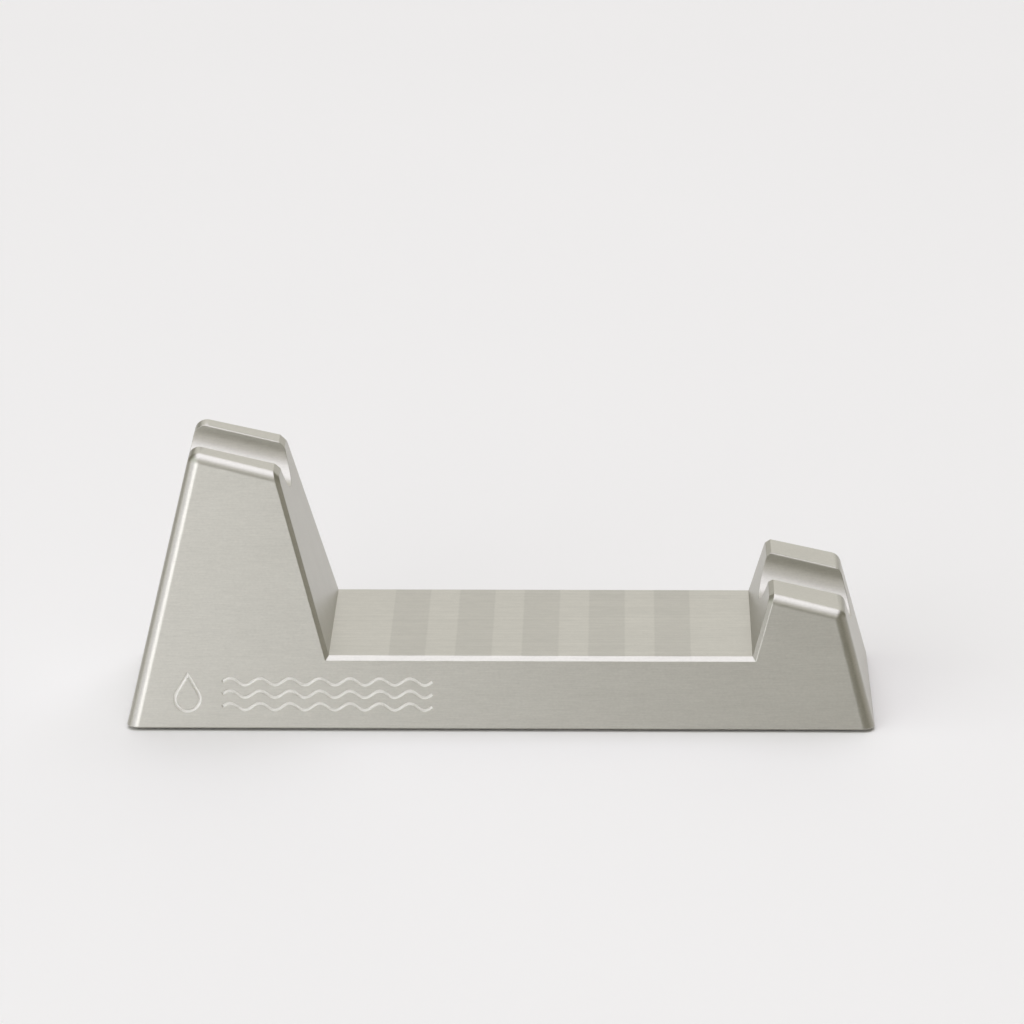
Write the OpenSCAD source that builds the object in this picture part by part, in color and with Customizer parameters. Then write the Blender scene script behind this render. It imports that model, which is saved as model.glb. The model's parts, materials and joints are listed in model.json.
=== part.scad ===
// Desk stand for a safety razor: one machined aluminium block with two saddles
// that cradle the razor's handle, standing on four small bumper feet.
// X runs along the stand (tall tower at -X), Y runs from front to back, Z is up.
// The origin is on the resting surface, under the middle of the base.
// Functions of the block take heights above its own underside.

/* [Block] */
// Length of the base along X
base_length = 90; // [84:1:100]
// Depth of the base along Y
base_depth = 31.75; // [30:0.25:38]
// Lean of the front and back faces from vertical, in degrees
face_lean = 13; // [10:0.5:14]
// Fall of the top faces towards +X, in degrees; the tall end face is square to it
top_slant = 13.3; // [11:0.1:15]
// Lean of the short end face from vertical, in degrees
short_end_lean = 15; // [10:1:18]
// Height of the slanted top plane above the block's underside, at mid length
top_height = 23.55; // [22:0.05:25]
// Radius of the outer edges
edge_radius = 1.5; // [1:0.1:2]

/* [Valley] */
// Height of the valley floor above the block's underside
floor_height = 8.5; // [7:0.1:10]
// Place along X where the floor meets the tall tower
valley_tall_side = -20.65; // [-24:0.05:-18]
// Place along X where the floor meets the short tower
valley_short_side = 30.25; // [26:0.05:32]
// Lean of the two valley walls from vertical, in degrees
wall_lean = 16; // [10:1:18]
// Leg of the chamfer along the valley's edges
chamfer = 0.5; // [0.3:0.1:0.8]

/* [Saddles] */
// Radius of the saddle in the tall tower
tall_saddle_radius = 4.9; // [4.5:0.1:5.5]
// Radius of the saddle in the short tower
short_saddle_radius = 5.7; // [5:0.1:6.5]
// Rise of a saddle's axis above the top face, as a share of its radius
saddle_rise = 0.26; // [0:0.02:0.4]

/* [Engraving] */
// Width of an engraved line
line_width = 0.36; // [0.2:0.02:0.5]
// Depth of an engraved line
line_depth = 0.18; // [0.1:0.02:0.3]
// Number of waves in a ripple line
ripple_count = 7; // [3:1:9]

/* [Feet] */
// Diameter of a foot
foot_diameter = 8; // [6:0.5:9]
// Height of a foot
foot_height = 1; // [0.8:0.1:1.4]
// Gap between the block and the resting surface
stand_off = 0.3; // [0.2:0.05:0.6]
// Thickness of the adhesive disc above a foot
adhesive_thickness = 0.1; // [0.05:0.05:0.2]
// Distance from a foot's centre to the base's end
foot_inset_x = 9; // [7:0.5:14]
// Distance from a foot's centre to the base's front or back
foot_inset_y = 7.5; // [6.5:0.5:9]

/* [Hidden] */

// Slopes of the leaning faces
face_slope = tan(face_lean);
top_slope = tan(top_slant);
tall_end_slope = tan(top_slant);
short_end_slope = tan(short_end_lean);
wall_slope = tan(wall_lean);

// The rounded edge between the front and the top face: the two faces' outward
// directions, the angle between them, and the edge's own direction
front_normal = [0, -cos(face_lean), sin(face_lean)];
top_normal = [sin(top_slant), 0, cos(top_slant)];
edge_turn = acos(front_normal * top_normal);
edge_heading = cross(front_normal, top_normal) / sin(edge_turn);

// Small chamfer round the underside
edge_break = 0.15;
// Share of the half length at which a saddle's cutter is centred
saddle_place = 0.75;
// Recess that a foot sits in
foot_gap = 0.2;
recess_depth = foot_height + adhesive_thickness - stand_off;
foot_edge_radius = 0.3;

// Cutters reach this far past the faces that they cut, and over each other
past = 1;
lap = 0.1;
well_above = 40;

// Facets of balls and rims, of true cylinders and of a foot's lower edge, and
// steps round the valley's chamfer, along one ripple and round the drop's belly
edge_facets = 64;
bore_facets = 96;
foot_edge_facets = 32;
chamfer_steps = 14;
wave_steps = 8;
drop_steps = 24;

// Motif of a water drop and three ripple lines, low on the front face
drop_centre = [-37.6, 3.6];
drop_radius = 1.5;
drop_height = 2.9;
ripple_start = -33.4;
ripple_pitch = 3.6;
ripple_height = 0.4;
ripple_rows = [2.7, 4.2, 5.7];

// Height of the slanted top plane at x
function top_at(x) = top_height - top_slope * x;

// Distance of the front face from the middle plane at height z
function half_depth(z) = base_depth / 2 - face_slope * z;

// Centre of the ball that rounds a top corner; side is -1 at the tall end
function corner_ball(side, end_slope, end_lean) =
    let (
        drop = top_height - edge_radius / cos(top_slant),
        reach = base_length / 2 - edge_radius / cos(end_lean),
        z = (drop - side * top_slope * reach) / (1 - side * top_slope * end_slope)
    )
    [side * (reach - end_slope * z), half_depth(z) - edge_radius / cos(face_lean), z];

// The block before it is cut: a tapered bar with rounded edges
module blank() {
    ends = [
        [-1, tall_end_slope, top_slant],
        [1, short_end_slope, short_end_lean],
    ];
    hull() {
        for (end = ends, side = [-1, 1]) {
            ball = corner_ball(end[0], end[1], end[2]);
            translate([ball.x, side * ball.y, ball.z])
                sphere(edge_radius, $fn = edge_facets);
            rim_x = base_length / 2 - end[1] * edge_break - edge_radius;
            rim_y = half_depth(edge_break) - edge_radius;
            translate([end[0] * rim_x, side * rim_y, 0])
                cylinder(
                    h = edge_break,
                    r1 = edge_radius - edge_break,
                    r2 = edge_radius,
                    $fn = edge_facets
                );
        }
    }
}

// Place along X of a valley wall at height z, moved depth into its tower
function wall_at(side, z, depth = 0) =
    let (foot_x = side < 0 ? valley_tall_side : valley_short_side)
    foot_x + side * (wall_slope * (z - floor_height) + depth / cos(wall_lean));

module valley() {
    corners = [[-1, floor_height], [1, floor_height], [1, well_above], [-1, well_above]];
    rotate([90, 0, 0])
        linear_extrude(height = base_depth + 2 * past, center = true)
            polygon([for (c = corners) [wall_at(c[0], c[1]), c[1]]]);
}

// Point of the rounded edge between the front and the top face: turned by t
// from the top, grown outwards by growth, and depth behind the valley's wall
function edge_point(side, t, growth, depth) =
    let (
        ball = corner_ball(-1, tall_end_slope, top_slant),
        normal = (sin(edge_turn - t) * top_normal + sin(t) * front_normal) / sin(edge_turn),
        p = [ball.x, -ball.y, ball.z] + (edge_radius + growth) * normal,
        wall = [wall_at(side, p.z, depth), p.y, p.z],
        wall_normal = [side * cos(wall_lean), 0, -sin(wall_lean)]
    )
    p + edge_heading * ((wall - p) * wall_normal) / (edge_heading * wall_normal);

// Corner of the front face, the floor and a wall: grown outwards by growth,
// and depth behind both the floor and the wall
function floor_point(side, growth, depth) =
    let (z = floor_height - depth)
    [wall_at(side, z, depth), -half_depth(z) - growth / cos(face_lean), z];

// Path of the chamfer's cutter over the front half of the block
function chamfer_path(growth, depth) =
    let (turns = [for (i = [0:chamfer_steps]) edge_turn * i / chamfer_steps])
    concat(
        [for (t = turns) edge_point(-1, t, growth, depth)],
        [for (side = [-1, 1]) floor_point(side, growth, depth)],
        [for (t = turns) edge_point(1, edge_turn - t, growth, depth)]
    );

// Cutter for the chamfer along the valley's edges and over both towers: a
// closed loop of triangles
module chamfer_cutter() {
    paths = [
        chamfer_path(lap, -lap),
        chamfer_path(lap, chamfer + lap),
        chamfer_path(-chamfer - lap, -lap),
    ];
    half = len(paths[0]);
    count = 2 * half;
    polyhedron(
        points = [
            for (i = [0:count - 1], path = paths)
                let (p = path[min(i, count - 1 - i)])
                [p.x, i < half ? p.y : -p.y, p.z]
        ],
        faces = [
            for (i = [0:count - 1], k = [0:2])
                let (a = 3 * i, b = 3 * ((i + 1) % count), next = (k + 1) % 3)
                [a + k, b + k, b + next, a + next]
        ]
    );
}

// Round saddle along the slanted top of one tower
module saddle(side, radius) {
    x = side * base_length / 2 * saddle_place;
    translate([x, 0, top_at(x) + saddle_rise * radius / cos(top_slant)])
        rotate([0, 90 + top_slant, 0])
            cylinder(h = base_length / 2, r = radius, center = true, $fn = bore_facets);
}

// Centres of the feet, named by their two signs
function foot_x(side) = side * (base_length / 2 - foot_inset_x);
function foot_y(side) = side * (base_depth / 2 - foot_inset_y);

module foot_recesses() {
    for (x = [-1, 1], y = [-1, 1])
        translate([foot_x(x), foot_y(y), -past])
            cylinder(
                h = recess_depth + past,
                d = foot_diameter + 2 * foot_gap,
                $fn = bore_facets
            );
}

// Point of the leaning front face, lifted off it by out
function on_face(p, out) =
    [p.x, -base_depth / 2, 0] + p.y * [0, sin(face_lean), cos(face_lean)] + out * front_normal;

function left_of(heading) = [-heading.y, heading.x] / norm(heading);

// Three corners of a V groove at b, mitred between its neighbours a and c
function groove_ring(a, b, c) =
    let (
        half = line_width / 2 * (1 + lap / line_depth),
        mitre = left_of(b - a) + left_of(c - b),
        step = mitre * 2 * half / (mitre * mitre)
    )
    [on_face(b + step, lap), on_face(b - step, lap), on_face(b, -line_depth)];

// Skin of a groove between its rings i and j
function groove_skin(i, j) = [
    for (k = [0:2])
        let (a = 3 * i + k, b = 3 * i + (k + 1) % 3, c = 3 * j + k, d = 3 * j + (k + 1) % 3)
        each [[a, c, b], [b, c, d]]
];

// Engraved line along a path whose first and last points only set its ends' headings
module engraved_line(path) {
    last = len(path) - 3;
    polyhedron(
        points = [
            for (i = [1:last + 1])
                each groove_ring(path[i - 1], path[i], path[i + 1])
        ],
        faces = concat(
            [[0, 1, 2], [3 * last + 2, 3 * last + 1, 3 * last]],
            [for (i = [0:last - 1]) each groove_skin(i, i + 1)]
        )
    );
}

// Engraved line that closes on itself
module engraved_loop(path) {
    count = len(path);
    polyhedron(
        points = [
            for (i = [0:count - 1])
                each groove_ring(path[(i + count - 1) % count], path[i], path[(i + 1) % count])
        ],
        faces = [for (i = [0:count - 1]) each groove_skin(i, (i + 1) % count)]
    );
}

// Round belly of the drop, then its tip
function drop_path() =
    let (tip_turn = acos(drop_radius / drop_height))
    [
        for (i = [0:drop_steps])
            let (t = 90 + tip_turn + (360 - 2 * tip_turn) * i / drop_steps)
            drop_centre + drop_radius * [cos(t), sin(t)],
        drop_centre + [0, drop_height],
    ];

function ripple_path(height) = [
    for (i = [-1:ripple_count * wave_steps + 1])
        let (t = i / wave_steps)
        [ripple_start + ripple_pitch * t, height + ripple_height * sin(360 * t)]
];

module engraving() {
    engraved_loop(drop_path());
    for (height = ripple_rows)
        engraved_line(ripple_path(height));
}

module stand_block() {
    color([0.78, 0.77, 0.74])
        translate([0, 0, stand_off])
            difference() {
                blank();
                valley();
                chamfer_cutter();
                saddle(-1, tall_saddle_radius);
                saddle(1, short_saddle_radius);
                foot_recesses();
                engraving();
            }
}

// Round bumper foot with a softened lower edge
module foot(x, y) {
    r = foot_diameter / 2;
    color([0.16, 0.16, 0.17])
        translate([foot_x(x), foot_y(y), 0])
            rotate_extrude($fn = bore_facets)
                union() {
                    square([r - foot_edge_radius, foot_height]);
                    translate([0, foot_edge_radius])
                        square([r, foot_height - foot_edge_radius]);
                    translate([r - foot_edge_radius, foot_edge_radius])
                        circle(foot_edge_radius, $fn = foot_edge_facets);
                }
}

// Thin adhesive disc that bonds a foot into its recess
module adhesive(x, y) {
    color([0.85, 0.83, 0.78])
        translate([foot_x(x), foot_y(y), foot_height])
            cylinder(h = adhesive_thickness, d = foot_diameter, $fn = bore_facets);
}

stand_block();
foot(-1, -1);  // foot_front_left
foot(1, -1);  // foot_front_right
foot(-1, 1);  // foot_rear_left
foot(1, 1);  // foot_rear_right
adhesive(-1, -1);  // adhesive_front_left
adhesive(1, -1);  // adhesive_front_right
adhesive(-1, 1);  // adhesive_rear_left
adhesive(1, 1);  // adhesive_rear_right
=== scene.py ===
import json
import math

import bmesh
import bpy
from mathutils import Matrix, Vector

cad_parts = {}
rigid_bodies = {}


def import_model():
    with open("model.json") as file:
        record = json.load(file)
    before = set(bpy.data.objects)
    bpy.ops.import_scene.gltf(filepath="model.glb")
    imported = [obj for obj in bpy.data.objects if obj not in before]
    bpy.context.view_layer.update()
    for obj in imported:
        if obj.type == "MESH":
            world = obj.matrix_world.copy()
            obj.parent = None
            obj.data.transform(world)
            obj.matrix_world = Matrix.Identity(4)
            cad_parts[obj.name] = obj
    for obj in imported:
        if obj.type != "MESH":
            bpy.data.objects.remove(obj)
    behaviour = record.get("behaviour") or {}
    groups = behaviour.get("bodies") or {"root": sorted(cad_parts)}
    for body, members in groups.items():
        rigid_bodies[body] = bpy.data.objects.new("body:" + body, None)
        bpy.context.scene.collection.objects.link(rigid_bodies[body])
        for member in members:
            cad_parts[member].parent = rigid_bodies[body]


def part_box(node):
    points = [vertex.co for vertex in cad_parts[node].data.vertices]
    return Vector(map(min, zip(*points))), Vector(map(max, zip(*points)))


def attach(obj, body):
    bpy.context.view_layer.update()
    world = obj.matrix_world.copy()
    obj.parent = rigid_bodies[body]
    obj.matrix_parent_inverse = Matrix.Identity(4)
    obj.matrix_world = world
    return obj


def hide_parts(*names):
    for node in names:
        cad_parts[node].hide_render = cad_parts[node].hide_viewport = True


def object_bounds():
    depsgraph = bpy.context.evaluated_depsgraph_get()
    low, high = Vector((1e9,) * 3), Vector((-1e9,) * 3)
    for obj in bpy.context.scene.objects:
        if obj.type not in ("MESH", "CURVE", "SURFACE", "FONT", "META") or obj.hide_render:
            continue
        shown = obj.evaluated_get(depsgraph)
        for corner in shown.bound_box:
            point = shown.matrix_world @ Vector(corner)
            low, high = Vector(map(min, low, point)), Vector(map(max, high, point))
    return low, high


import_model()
CAD_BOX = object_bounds()

# The photograph's view: a long lens, a little above the stand and just right of its middle.
# The azimuth is positive to the right. Lengths are in metres.
LENS_MM = 221
SENSOR_MM = 36
AZIMUTH = math.radians(1.06)
ELEVATION = math.radians(16.5)
ROLL = math.radians(-0.172)
DISTANCE = 0.76572
AIM_FROM_CENTRE = Vector((0.00114, 0.00206, 0.00604))

# The block's shape, as in the CAD part, in millimetres and radians. A side is -1 at the
# tall tower and 1 at the short one. Heights are above the block's own underside.
SIDES = (-1, 1)
FACE_LEAN = math.radians(13)
TOP_SLANT = math.radians(13.3)
END_LEAN = {-1: TOP_SLANT, 1: math.radians(15)}
WALL_LEAN = math.radians(16)
EDGE_RADIUS = 1.5
EDGE_BREAK = 0.15  # around the underside
FLOOR_HEIGHT = 8.5
WALL_FOOT = {-1: -20.65, 1: 30.25}
CHAMFER = 0.5  # along the valley's edges
SADDLE_RADIUS = {-1: 4.9, 1: 5.7}
SADDLE_RISE = 0.26  # height of a saddle's axis above the slanted top, in saddle radii
FOOT_GAP = 0.2

# A saddle's lip: the arc it takes away, and two flats, the first turned outwards from the arc
LIP_ARC = 0.16
LIP_FLAT = 0.12
LIP_TURN = math.radians(22)
OUTER_FLAT = 1
OUTER_RISE = math.radians(20)

# Motif of a water drop and three ripple lines, along and up the leaning front face
DROP_CENTRE = Vector((-37.6, 3.6))
DROP_RADIUS = 1.5
DROP_HEIGHT = 2.9
RIPPLE_START = -33.4
RIPPLE_PITCH = 3.6
RIPPLE_COUNT = 7
RIPPLE_HEIGHT = 0.4
RIPPLE_ROWS = (2.7, 4.2, 5.7)

# How finely round shapes are stepped, and how far cutters reach past what they cut
ARC_STEPS = 24
SADDLE_STEPS = 160
RECESS_STEPS = 96
DROP_STEPS = 72
WAVE_STEPS = 32
LAP = 0.1
PAST = 2
WELL_ABOVE = 40

# An engraved line, and half of its section from beside it to its bottom: across it in half
# widths, and out of the face in millimetres where positive, or in line depths where negative
LINE_HALF_WIDTH = 0.18
LINE_DEPTH = 0.18
LINE_HALF = [(1.25, LAP / 2), (1, 0), (0.72, -0.55), (0.38, -0.88)]

# How close points have to be to merge, before and after the cuts, and which folds count as
# flat or sharp
HULL_WELD = 1e-5
CUT_WELD = 0.002
FLAT_FOLD = math.radians(0.05)
SHARP_FOLD = math.radians(28)

# Places on the block where its material changes, in metres, and how softly it does
VALLEY_LAYER = 5e-5  # above and below the valley's floor
VALLEY_SOFTNESS = 1e-5
PASSES_FROM, PASSES_TO = -0.0135, 0.0229
PASS_PITCH = 0.008
PASS_WIDTH = 0.0044
PASS_SOFTNESS = 1e-4
MOTIF_X = (-0.0398, -0.0075)
MOTIF_Z = (0.0012, 0.0082)
MOTIF_SOFTNESS = 1e-5
CUT_DEPTHS = (1e-5, 2.5e-4)  # behind the front face
CUT_SOFTNESS = 4e-6
EDGE_SOFTNESS = 1.4e-4  # radius that every edge is shaded with

# Linear colours
METAL_COLOUR = (0.57, 0.558, 0.512)
# Painted highlight: the engraved lines' colour, lighter than the metal, stands in for the overhead
# light that their walls catch
ENGRAVING_HIGHLIGHT_COLOUR = (0.88, 0.87, 0.84, 1)
RUBBER_COLOURS = ((0.03, 0.03, 0.033, 1), (0.065, 0.065, 0.07, 1))
FILM_COLOURS = ((0.66, 0.64, 0.57, 1), (0.78, 0.76, 0.70, 1))
PAPER_COLOUR = (0.97, 0.96, 0.955)
FILL_COLOUR = (0.2, 0.19, 0.135, 1)

PAPER_SIZE = 6  # metres
CORNERS = ("front_left", "front_right", "rear_left", "rear_right")

MM_PER_M = 1000
block_low, block_high = (v * MM_PER_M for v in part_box("stand_block"))
UNDERSIDE = block_low.z
# Half the length and depth at the underside, as if its edge weren't broken
HALF_LENGTH = block_high.x + math.tan(END_LEAN[1]) * EDGE_BREAK
HALF_DEPTH = block_high.y + math.tan(FACE_LEAN) * EDGE_BREAK
TOP_NORMAL = Vector((math.sin(TOP_SLANT), 0, math.cos(TOP_SLANT)))
FRONT_NORMAL = Vector((0, -math.cos(FACE_LEAN), math.sin(FACE_LEAN)))
EDGE_HEADING = FRONT_NORMAL.cross(TOP_NORMAL).normalized()  # along the rounded top edge


def outwards(azimuth, elevation):
    """Direction from the stand. The azimuth is from the front, positive to the right."""
    return Vector((
        math.sin(azimuth) * math.cos(elevation),
        -math.cos(azimuth) * math.cos(elevation),
        math.sin(elevation),
    ))


def add_object(name, data):
    """A new object in the scene."""
    made = bpy.data.objects.new(name, data)
    bpy.context.scene.collection.objects.link(made)
    return made


def make_camera():
    """Camera at the photograph's view."""
    lowest, highest = CAD_BOX
    aim = (lowest + highest) / 2 + AIM_FROM_CENTRE
    back = outwards(AZIMUTH, ELEVATION)
    level_right = Vector((math.cos(AZIMUTH), math.sin(AZIMUTH), 0))
    right = Matrix.Rotation(ROLL, 3, back) @ level_right
    up = back.cross(right)
    turn = Matrix((right, up, back)).transposed().to_4x4()
    data = bpy.data.cameras.new("camera")
    data.sensor_width = SENSOR_MM
    data.lens = LENS_MM
    data.clip_start = 0.01
    camera = add_object("camera", data)
    camera.matrix_world = Matrix.Translation(aim + back * DISTANCE) @ turn
    bpy.context.scene.camera = camera


def half_depth(z):
    """Distance of the front face from the middle plane at height z."""
    return HALF_DEPTH - math.tan(FACE_LEAN) * z


def end_normal(side):
    """Direction that an end face looks in."""
    lean = END_LEAN[side]
    return Vector((side * math.cos(lean), 0, math.sin(lean)))


def tall_ball():
    """Centre of the ball that rounds the tall tower's front top corner."""
    z = block_high.z - UNDERSIDE - EDGE_RADIUS
    lean = END_LEAN[-1]
    x = EDGE_RADIUS / math.cos(lean) + math.tan(lean) * z - HALF_LENGTH
    return Vector((x, EDGE_RADIUS / math.cos(FACE_LEAN) - half_depth(z), z))


def short_ball():
    """The same at the short tower: where the rounded edge's axis meets the end face's own."""
    tall, normal = tall_ball(), end_normal(1)
    reach = Vector((HALF_LENGTH, 0, 0)).dot(normal) - EDGE_RADIUS
    return tall + EDGE_HEADING * ((reach - tall.dot(normal)) / EDGE_HEADING.dot(normal))


def top_at(x):
    """Height of the slanted top plane at x."""
    on_top = tall_ball() + EDGE_RADIUS * TOP_NORMAL
    return on_top.z - math.tan(TOP_SLANT) * (x - on_top.x)


def make_solid(name, verts, faces):
    """A closed mesh, in millimetres, with its faces turned outwards."""
    mesh = bpy.data.meshes.new(name)
    mesh.from_pydata(verts, [], faces)
    shape = bmesh.new()
    shape.from_mesh(mesh)
    bmesh.ops.recalc_face_normals(shape, faces=shape.faces)
    shape.to_mesh(mesh)
    shape.free()
    return add_object(name, mesh)


def skin(rings, closed):
    """Points and faces of a tube through equal rings of points, capped unless it is closed."""
    count, size = len(rings), len(rings[0])
    faces = [
        tuple(
            (i + di) % count * size + (k + dk) % size
            for di, dk in ((0, 0), (0, 1), (1, 1), (1, 0))
        )
        for i in range(count if closed else count - 1)
        for k in range(size)
    ]
    if not closed:
        faces += [tuple(range(size)), tuple(range((count - 1) * size, count * size))]
    return [point for ring in rings for point in ring], faces


def mirrored(point):
    """The point's mirror image in the middle plane."""
    return Vector((point.x, -point.y, point.z))


def arc_turns():
    """Equal steps from 0 to 1 around a rounded edge."""
    return [i / ARC_STEPS for i in range(ARC_STEPS + 1)]


def top_corner(side, ball):
    """Points of the round patch at a tower's front top corner."""
    points = []
    for turn in arc_turns():
        low = FRONT_NORMAL.slerp(end_normal(side), turn)
        points += [ball + EDGE_RADIUS * TOP_NORMAL.slerp(low, fall) for fall in arc_turns()]
    return points


def foot_corner(side):
    """Points of the rounded front corner at the underside, with its edge broken."""
    rim = Vector((
        side * (HALF_LENGTH - math.tan(END_LEAN[side]) * EDGE_BREAK - EDGE_RADIUS),
        EDGE_RADIUS - half_depth(EDGE_BREAK),
        0,
    ))
    points = []
    for turn in arc_turns():
        out = Vector((0, -1, 0)).slerp(Vector((side, 0, 0)), turn)
        points.append(rim + (EDGE_RADIUS - EDGE_BREAK) * out)
        points.append(rim + EDGE_RADIUS * out + Vector((0, 0, EDGE_BREAK)))
    return points


def flatten(shape):
    """Merges a mesh's coplanar faces."""
    bmesh.ops.dissolve_limit(
        shape, angle_limit=FLAT_FOLD, verts=shape.verts, edges=shape.edges
    )


def make_blank():
    """The tapered bar with rounded edges, before it is cut: the hull of its corners."""
    shape = bmesh.new()
    for side, ball in ((-1, tall_ball()), (1, short_ball())):
        for point in top_corner(side, ball) + foot_corner(side):
            shape.verts.new(mirrored(point))
            shape.verts.new(point)
    bmesh.ops.remove_doubles(shape, verts=shape.verts, dist=HULL_WELD)
    hull = bmesh.ops.convex_hull(shape, input=shape.verts)
    left_over = set(hull["geom_interior"] + hull["geom_unused"])
    loose = [part for part in left_over if isinstance(part, bmesh.types.BMVert)]
    bmesh.ops.delete(shape, geom=loose, context="VERTS")
    flatten(shape)
    mesh = bpy.data.meshes.new("block")
    shape.to_mesh(mesh)
    shape.free()
    return add_object("block", mesh)


def wall_x(side, z, depth=0):
    """Place along X of a valley wall at height z, moved depth into its tower."""
    rise = math.tan(WALL_LEAN) * (z - FLOOR_HEIGHT)
    return WALL_FOOT[side] + side * (rise + depth / math.cos(WALL_LEAN))


def make_valley():
    """Cutter for the open valley between the towers."""
    corners = [(-1, FLOOR_HEIGHT), (1, FLOOR_HEIGHT), (1, WELL_ABOVE), (-1, WELL_ABOVE)]
    reach = HALF_DEPTH + PAST
    rings = [[Vector((wall_x(side, z), y, z)) for side, z in corners] for y in (-reach, reach)]
    return make_solid("valley", *skin(rings, closed=False))


def edge_point(side, turn, growth, depth):
    """Point of the rounded edge between the front and the top face: turn of the way to the
    front, grown outwards by growth, and depth behind the valley's wall."""
    point = tall_ball() + (EDGE_RADIUS + growth) * TOP_NORMAL.slerp(FRONT_NORMAL, turn)
    wall = Vector((wall_x(side, point.z, depth), point.y, point.z))
    normal = Vector((side * math.cos(WALL_LEAN), 0, -math.sin(WALL_LEAN)))
    return point + EDGE_HEADING * ((wall - point).dot(normal) / EDGE_HEADING.dot(normal))


def floor_point(side, growth, depth):
    """Corner of the front face, the floor and a wall, grown outwards and deep in both."""
    z = FLOOR_HEIGHT - depth
    return Vector((wall_x(side, z, depth), -half_depth(z) - growth / math.cos(FACE_LEAN), z))


def make_chamfers():
    """Cutter for the chamfer along the valley's edges and over both towers."""
    section = [(LAP, -LAP), (-CHAMFER - LAP, -LAP), (LAP, CHAMFER + LAP)]
    front = [[edge_point(-1, turn, *corner) for corner in section] for turn in arc_turns()]
    front += [[floor_point(side, *corner) for corner in section] for side in SIDES]
    front += [[edge_point(1, 1 - turn, *corner) for corner in section] for turn in arc_turns()]
    back = [[mirrored(point) for point in ring] for ring in reversed(front)]
    return make_solid("chamfers", *skin(front + back, closed=True))


def saddle_outline(side):
    """A saddle's section across the tower: a round arc, and at each lip two flats."""
    radius = SADDLE_RADIUS[side]
    rise = SADDLE_RISE * radius
    wide = math.acos(SADDLE_RISE) - LIP_ARC / radius
    arc = [
        Vector((radius * math.sin(turn), rise - radius * math.cos(turn)))
        for turn in (wide * (2 * i / SADDLE_STEPS - 1) for i in range(SADDLE_STEPS + 1))
    ]
    flat = arc[-1]
    flats = []
    for turn, length in ((wide - LIP_TURN, LIP_FLAT), (OUTER_RISE, OUTER_FLAT)):
        flat = flat + length * Vector((math.cos(turn), math.sin(turn)))
        flats.append(flat)
    flats.append(Vector((flat.x, WELL_ABOVE)))
    return [Vector((-point.x, point.y)) for point in reversed(flats)] + arc + flats


def make_saddle(side):
    """Cutter for a round saddle along a tower's slanted top."""
    outline = saddle_outline(side)
    along = Vector((math.cos(TOP_SLANT), 0, -math.sin(TOP_SLANT)))
    x = side * HALF_LENGTH * 3 / 4
    middle = Vector((x, 0, top_at(x)))
    rings = [
        [middle + reach * along + Vector((0, y, 0)) + rise * TOP_NORMAL for y, rise in outline]
        for reach in (-HALF_LENGTH / 2, HALF_LENGTH / 2)
    ]
    return make_solid("saddle", *skin(rings, closed=False))


def make_recess(foot, adhesive):
    """Cutter for the round recess that a foot sits in."""
    low, high = (v * MM_PER_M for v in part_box(foot))
    centre = (low + high) / 2
    radius = (high.x - low.x) / 2 + FOOT_GAP
    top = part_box(adhesive)[1].z * MM_PER_M - UNDERSIDE
    rings = []
    for z in (-PAST, top):
        rings.append([
            Vector((centre.x + radius * math.cos(turn), centre.y + radius * math.sin(turn), z))
            for turn in (math.tau * i / RECESS_STEPS for i in range(RECESS_STEPS))
        ])
    return make_solid("recess", *skin(rings, closed=False))


def on_face(point, out):
    """Point of the leaning front face, lifted off it by out."""
    up_face = Vector((0, math.sin(FACE_LEAN), math.cos(FACE_LEAN)))
    return Vector((point.x, -HALF_DEPTH, 0)) + point.y * up_face + out * FRONT_NORMAL


def make_groove(path, closed):
    """Cutter for an engraved line with a rounded bottom, mitred along its path."""
    section = LINE_HALF + [(0, -1)] + [(-across, out) for across, out in reversed(LINE_HALF)]
    count = len(path)
    rings = []
    for i in range(count) if closed else range(1, count - 1):
        before = (path[i] - path[i - 1]).normalized()
        after = (path[(i + 1) % count] - path[i]).normalized()
        mitre = before.orthogonal() + after.orthogonal()
        step = mitre * (2 * LINE_HALF_WIDTH / mitre.length_squared)
        rings.append([
            on_face(path[i] + across * step, out if out > 0 else out * LINE_DEPTH)
            for across, out in section
        ])
    return make_solid("groove", *skin(rings, closed))


def drop_path():
    """Round belly of the drop, then its tip."""
    tip_turn = math.acos(DROP_RADIUS / DROP_HEIGHT)
    turns = [
        math.pi / 2 + tip_turn + (math.tau - 2 * tip_turn) * i / DROP_STEPS
        for i in range(DROP_STEPS + 1)
    ]
    belly = [DROP_CENTRE + DROP_RADIUS * Vector((math.cos(t), math.sin(t))) for t in turns]
    return belly + [DROP_CENTRE + Vector((0, DROP_HEIGHT))]


def ripple_path(height):
    """Wavy line, with one more step at each end for the groove's mitres."""
    waves = [i / WAVE_STEPS for i in range(-1, RIPPLE_COUNT * WAVE_STEPS + 2)]
    return [
        Vector((RIPPLE_START + RIPPLE_PITCH * t, height + RIPPLE_HEIGHT * math.sin(math.tau * t)))
        for t in waves
    ]


def make_cutters():
    """Everything that is cut out of the blank, in order."""
    cutters = [make_valley(), make_chamfers(), make_saddle(-1), make_saddle(1)]
    cutters += [make_recess("foot_" + corner, "adhesive_" + corner) for corner in CORNERS]
    cutters.append(make_groove(drop_path(), closed=True))
    cutters += [make_groove(ripple_path(height), closed=False) for height in RIPPLE_ROWS]
    return cutters


def cut_mesh(block, cutters):
    """The block's mesh after all the cuts. The cutters are used up."""
    for cutter in cutters:
        cut = block.modifiers.new(cutter.name, "BOOLEAN")
        cut.operation = "DIFFERENCE"
        cut.solver = "MANIFOLD"
        cut.object = cutter
    graph = bpy.context.evaluated_depsgraph_get()
    mesh = bpy.data.meshes.new_from_object(block.evaluated_get(graph))
    block.modifiers.clear()
    for cutter in cutters:
        bpy.data.objects.remove(cutter)
    return mesh


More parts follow.
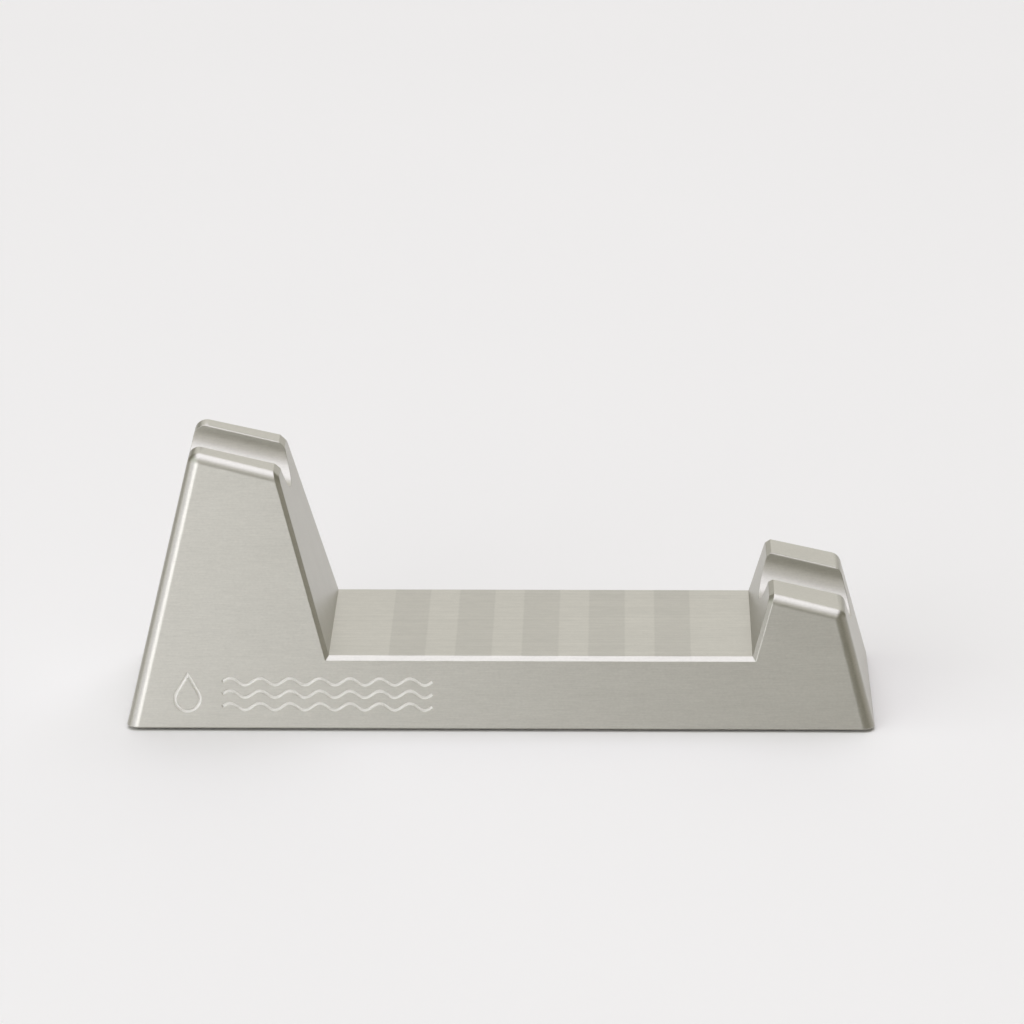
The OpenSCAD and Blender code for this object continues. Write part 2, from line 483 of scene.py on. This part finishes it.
def make_block():
    """The stand's metal block, in place of its CAD solid."""
    block = make_blank()
    mesh = cut_mesh(block, make_cutters())
    shape = bmesh.new()
    shape.from_mesh(mesh)
    bmesh.ops.remove_doubles(shape, verts=shape.verts, dist=CUT_WELD)
    flatten(shape)
    bmesh.ops.translate(shape, verts=shape.verts, vec=(0, 0, UNDERSIDE))
    bmesh.ops.scale(shape, verts=shape.verts, vec=(1 / MM_PER_M,) * 3)
    shape.to_mesh(mesh)
    shape.free()
    block.data = mesh
    mesh.name = "block"
    mesh.polygons.foreach_set("use_smooth", [True] * len(mesh.polygons))
    mesh.set_sharp_from_angle(angle=SHARP_FOLD)
    weighted = block.modifiers.new("weighted", "WEIGHTED_NORMAL")
    weighted.keep_sharp = True
    weighted.weight = 100
    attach(block, "root")
    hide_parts("stand_block")
    return block


def add_node(tree, kind, inputs=(), **settings):
    """Makes a shader node, gives its inputs values or links, and returns its first live output."""
    made = tree.nodes.new("ShaderNode" + kind)
    for name, value in settings.items():
        setattr(made, name, value)
    for slot, value in dict(inputs).items():
        if isinstance(value, bpy.types.NodeSocket):
            tree.links.new(value, made.inputs[slot])
        else:
            made.inputs[slot].default_value = value
    return next(output for output in made.outputs if output.enabled)


def maths(tree, operation, *values):
    """A value worked out from others."""
    return add_node(tree, "Math", enumerate(values), operation=operation)


def product(tree, first, *others):
    """The product of several values, taken in turn."""
    for other in others:
        first = maths(tree, "MULTIPLY", first, other)
    return first


def shade(tree, value, low, high):
    """Maps a 0 to 1 value to a factor from low to high."""
    return add_node(tree, "MapRange", {"Value": value, "To Min": low, "To Max": high})


def mix(tree, factor, first, second):
    """Colour that goes from first to second."""
    return add_node(tree, "Mix", {"Factor": factor, "A": first, "B": second}, data_type="RGBA")


def scaled(tree, colour, tone):
    """Colour made lighter or darker by a tone around 1."""
    return add_node(tree, "VectorMath", {0: colour, "Scale": tone}, operation="SCALE")


def noise(tree, place, per_mm, detail):
    """Noise from 0 to 1 with the given number of grains per millimetre along X, Y and Z."""
    grains = [count * MM_PER_M for count in per_mm]
    stretched = add_node(tree, "VectorMath", {0: place, 1: grains}, operation="MULTIPLY")
    return add_node(tree, "TexNoise", {"Vector": stretched, "Scale": 1, "Detail": detail})


def axes(tree, place):
    """The X, Y and Z of a place."""
    split = tree.nodes.new("ShaderNodeSeparateXYZ")
    tree.links.new(place, split.inputs[0])
    return split.outputs


def between(tree, value, low, high, soft):
    """Mask that is 1 where value lies between low and high, with soft edges."""
    rise = {"Value": value, "From Min": low - soft, "From Max": low + soft}
    fall = {
        "Value": value, "From Min": high - soft, "From Max": high + soft, "To Min": 1, "To Max": 0
    }
    return product(tree, add_node(tree, "MapRange", rise), add_node(tree, "MapRange", fall))


def new_material(name):
    """A material, its nodes, its shader, and the place on the object that it colours."""
    material = bpy.data.materials.new(name)
    material.use_nodes = True
    tree = material.node_tree
    texture = tree.nodes.new("ShaderNodeTexCoord")
    return material, tree, tree.nodes["Principled BSDF"], texture.outputs["Object"]


def connect(tree, shader, looks):
    """Links values to the shader's inputs."""
    for name, value in looks.items():
        tree.links.new(value, shader.inputs[name])


def milled_passes(tree, place):
    """Mask of the valley floor and, on it, of the alternate bands that the cutter left."""
    x, _, z = axes(tree, place)
    height = (FLOOR_HEIGHT + UNDERSIDE) / MM_PER_M
    on_floor = between(tree, z, height - VALLEY_LAYER, height + VALLEY_LAYER, VALLEY_SOFTNESS)
    from_middle = maths(tree, "SUBTRACT", x, PASSES_FROM + PASS_WIDTH / 2)
    along = maths(tree, "PINGPONG", from_middle, PASS_PITCH / 2)  # never below 0
    band = between(tree, along, -1, PASS_WIDTH / 2, PASS_SOFTNESS)
    milled = between(tree, x, PASSES_FROM, PASSES_TO, PASS_SOFTNESS)
    return on_floor, product(tree, band, milled, on_floor)


def engraved(tree, place):
    """Mask of the engraved lines: what lies just behind the front face, around the motif."""
    x, _, z = axes(tree, place)
    face = on_face(Vector((0, 0)), 0) + Vector((0, 0, UNDERSIDE))
    out = add_node(tree, "VectorMath", {0: place, 1: FRONT_NORMAL}, operation="DOT_PRODUCT")
    sunk = maths(tree, "SUBTRACT", face.dot(FRONT_NORMAL) / MM_PER_M, out)
    return product(
        tree,
        between(tree, x, *MOTIF_X, MOTIF_SOFTNESS),
        between(tree, z, *MOTIF_Z, MOTIF_SOFTNESS),
        between(tree, sunk, *CUT_DEPTHS, CUT_SOFTNESS),
    )


def metal_tone(tree, place, brushing):
    """Light and dark over the metal: its grain everywhere, and more of it on the valley floor."""
    grain = noise(tree, place, (3, 5, 5), detail=1)
    cloud = noise(tree, place, (0.08, 0.3, 0.3), detail=3)
    streak = noise(tree, place, (0.03, 2.2, 2.2), detail=2)
    flecks = noise(tree, place, (0.7, 1.1, 1.1), detail=4)
    on_floor, band = milled_passes(tree, place)
    tone = product(
        tree,
        shade(tree, brushing, 0.91, 1.09),
        shade(tree, grain, 0.93, 1.07),
        shade(tree, cloud, 0.96, 1.04),
    )
    for pattern, elsewhere, on_valley in ((streak, 0.03, 0.16), (flecks, 0, 0.12)):
        strength = shade(tree, on_floor, elsewhere, on_valley)
        swing = product(tree, maths(tree, "SUBTRACT", pattern, 0.5), strength)
        tone = product(tree, tone, maths(tree, "ADD", swing, 1))
    return product(tree, tone, shade(tree, band, 1, 0.9))


def block_material():
    """Satin aluminium, finely brushed along X, with a painted highlight lightening the engraved
    lines.
    """
    material, tree, shader, place = new_material("block")
    brushing = noise(tree, place, (0.5, 7, 7), detail=3)
    metal = scaled(tree, METAL_COLOUR, metal_tone(tree, place, brushing))
    # The engraved lines get a painted highlight, their colour mixed towards a lighter one, and are
    # a little rougher
    cut = engraved(tree, place)
    rough = maths(tree, "ADD", shade(tree, brushing, 0.35, 0.39), shade(tree, cut, 0, 0.06))
    soft = add_node(tree, "Bevel", {"Radius": EDGE_SOFTNESS}, samples=6)
    relief = {"Height": brushing, "Strength": 0.2, "Distance": 2e-6, "Normal": soft}
    connect(tree, shader, {
        "Base Color": mix(tree, cut, metal, ENGRAVING_HIGHLIGHT_COLOUR),
        "Roughness": rough,
        "Normal": add_node(tree, "Bump", relief),
    })
    shader.inputs["Metallic"].default_value = 1
    return material


def foot_material():
    """Matte black elastomer with a faint pebbled skin."""
    material, tree, shader, place = new_material("foot")
    pebbles = noise(tree, place, (3, 3, 3), detail=3)
    relief = {"Height": pebbles, "Strength": 0.5, "Distance": 2e-5}
    connect(tree, shader, {
        "Base Color": mix(tree, pebbles, *RUBBER_COLOURS),
        "Roughness": shade(tree, pebbles, 0.65, 0.85),
        "Normal": add_node(tree, "Bump", relief),
    })
    return material


def adhesive_material():
    """Milky acrylic film."""
    material, tree, shader, place = new_material("adhesive")
    cloud = noise(tree, place, (1, 1, 1), detail=3)
    connect(tree, shader, {
        "Base Color": mix(tree, cloud, *FILM_COLOURS),
        "Roughness": shade(tree, cloud, 0.4, 0.6),
    })
    return material


def floor_material():
    """Matte white paper with faint clouds."""
    material, tree, shader, place = new_material("floor")
    cloud = noise(tree, place, (0.006, 0.006, 0.006), detail=3)
    tone = shade(tree, cloud, 0.985, 1.015)
    connect(tree, shader, {"Base Color": scaled(tree, PAPER_COLOUR, tone)})
    shader.inputs["Roughness"].default_value = 0.7
    shader.inputs["Specular IOR Level"].default_value = 0.2
    return material


def dress(piece, material):
    """Gives a piece its only material."""
    piece.data.materials.clear()
    piece.data.materials.append(material)


def dress_feet():
    """Gives the CAD's own feet and adhesive discs their materials."""
    looks = {"foot_": foot_material(), "adhesive_": adhesive_material()}
    for piece in bpy.data.objects:
        for prefix, material in looks.items():
            if piece.name.startswith(prefix):
                dress(piece, material)


def make_floor():
    """A wide sheet of paper under the stand."""
    bpy.ops.mesh.primitive_plane_add(size=PAPER_SIZE)
    floor = bpy.context.object
    floor.name = "floor"
    dress(floor, floor_material())


def make_light(name, azimuth, elevation, distance, size, radiance, colour):
    """A softbox facing the stand, with its angles in degrees and its measures in metres."""
    out = outwards(math.radians(azimuth), math.radians(elevation))
    data = bpy.data.lights.new(name, "AREA")
    data.shape = "RECTANGLE"
    data.size, data.size_y = size
    data.energy = radiance * math.pi * size[0] * size[1]
    data.color = colour
    light = add_object(name, data)
    light.location = out * distance
    light.rotation_euler = out.to_track_quat("Z", "Y").to_euler()


def make_world():
    """Dim fill from all sides, and plain colours."""
    scene = bpy.context.scene
    scene.view_settings.view_transform = "Standard"
    scene.view_settings.look = "None"
    world = bpy.data.worlds.new("studio")
    world.use_nodes = True
    world.node_tree.nodes["Background"].inputs["Color"].default_value = FILL_COLOUR
    scene.world = world


def make_lights():
    """Softboxes whose strengths give the faces the photograph's tones."""
    make_light("overhead", 170, 79, 2.4, (2.5, 3.1), 1.52, (1, 1, 1.12))
    make_light("key", -70, 44, 3.2, (3, 2), 0.6, (1, 1.1, 1.05))
    make_light("front", -24, 15, 1.6, (0.95, 0.75), 2.3, (1, 1.01, 1.07))
    make_light("side", -58, 12, 1.6, (1.3, 0.9), 0.8, (1, 1, 1.15))
    make_light("left", -88, 13, 1.6, (0.8, 0.8), 0.5, (1, 1, 1))
    make_light("right", 95, 12, 1.6, (1, 0.9), 0.22, (1, 0.95, 0.95))
    make_light("back", 175, 24, 3.2, (2.6, 2.5), 0.67, (1, 0.99, 0.99))
    make_light("high_front", 0, 52, 2.4, (2.4, 1), 0.72, (1, 0.98, 1.02))


make_camera()
make_floor()
make_world()
make_lights()
dress_feet()
dress(make_block(), block_material())
